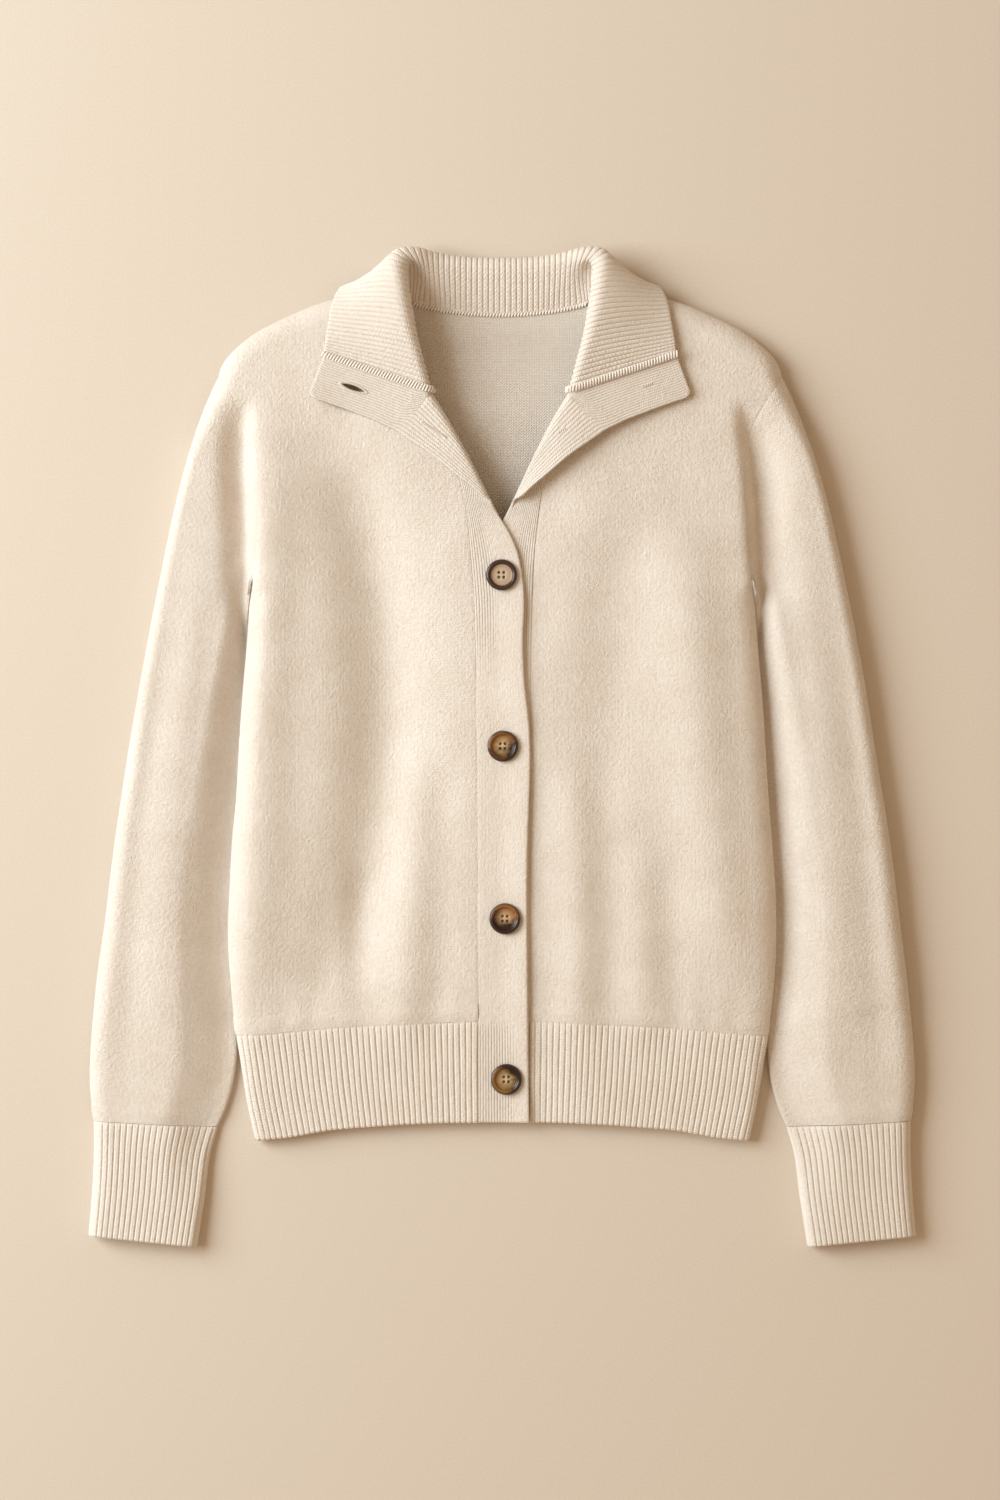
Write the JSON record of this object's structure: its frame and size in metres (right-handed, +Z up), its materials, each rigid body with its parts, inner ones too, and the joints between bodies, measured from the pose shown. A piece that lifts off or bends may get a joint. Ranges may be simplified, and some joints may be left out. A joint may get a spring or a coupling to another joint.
{
  "type": "button cardigan",
  "caption": "Wool cardigan laid flat, buttoned up the front, with its ribbed funnel collar and band ends turned back, and ribbed hem and cuffs.",
  "frame": {"origin": "centre of the laid-out garment's box in X and Y, on the surface that its underside rests on", "axes": "+Z up through the cloth, back panel below and front above; +Y from the hem towards the collar; +X towards the wearer's left"},
  "size_m": [0.598, 0.721, 0.0361],
  "materials": {
    "wool_knit": "felted fine-gauge wool, matt and slightly fuzzy",
    "wool_rib": "ribbed wool, matt",
    "horn_button": "mottled horn-look resin, glossy"
  },
  "bodies": {
    "root": {"back_panel": "wool_knit", "front_right": "wool_knit", "front_left": "wool_knit", "upper_sleeve_right": "wool_knit", "upper_sleeve_left": "wool_knit", "lower_sleeve_right": "wool_knit", "lower_sleeve_left": "wool_knit", "back_hem_rib": "wool_rib", "hem_rib_right": "wool_rib", "hem_rib_left": "wool_rib", "cuff_right": "wool_rib", "cuff_left": "wool_rib", "collar": "wool_rib", "band_right": "wool_rib", "band_left": "wool_rib", "button_1": "horn_button", "button_2": "horn_button", "button_3": "horn_button", "button_4": "horn_button"}
  },
  "joints": []
}
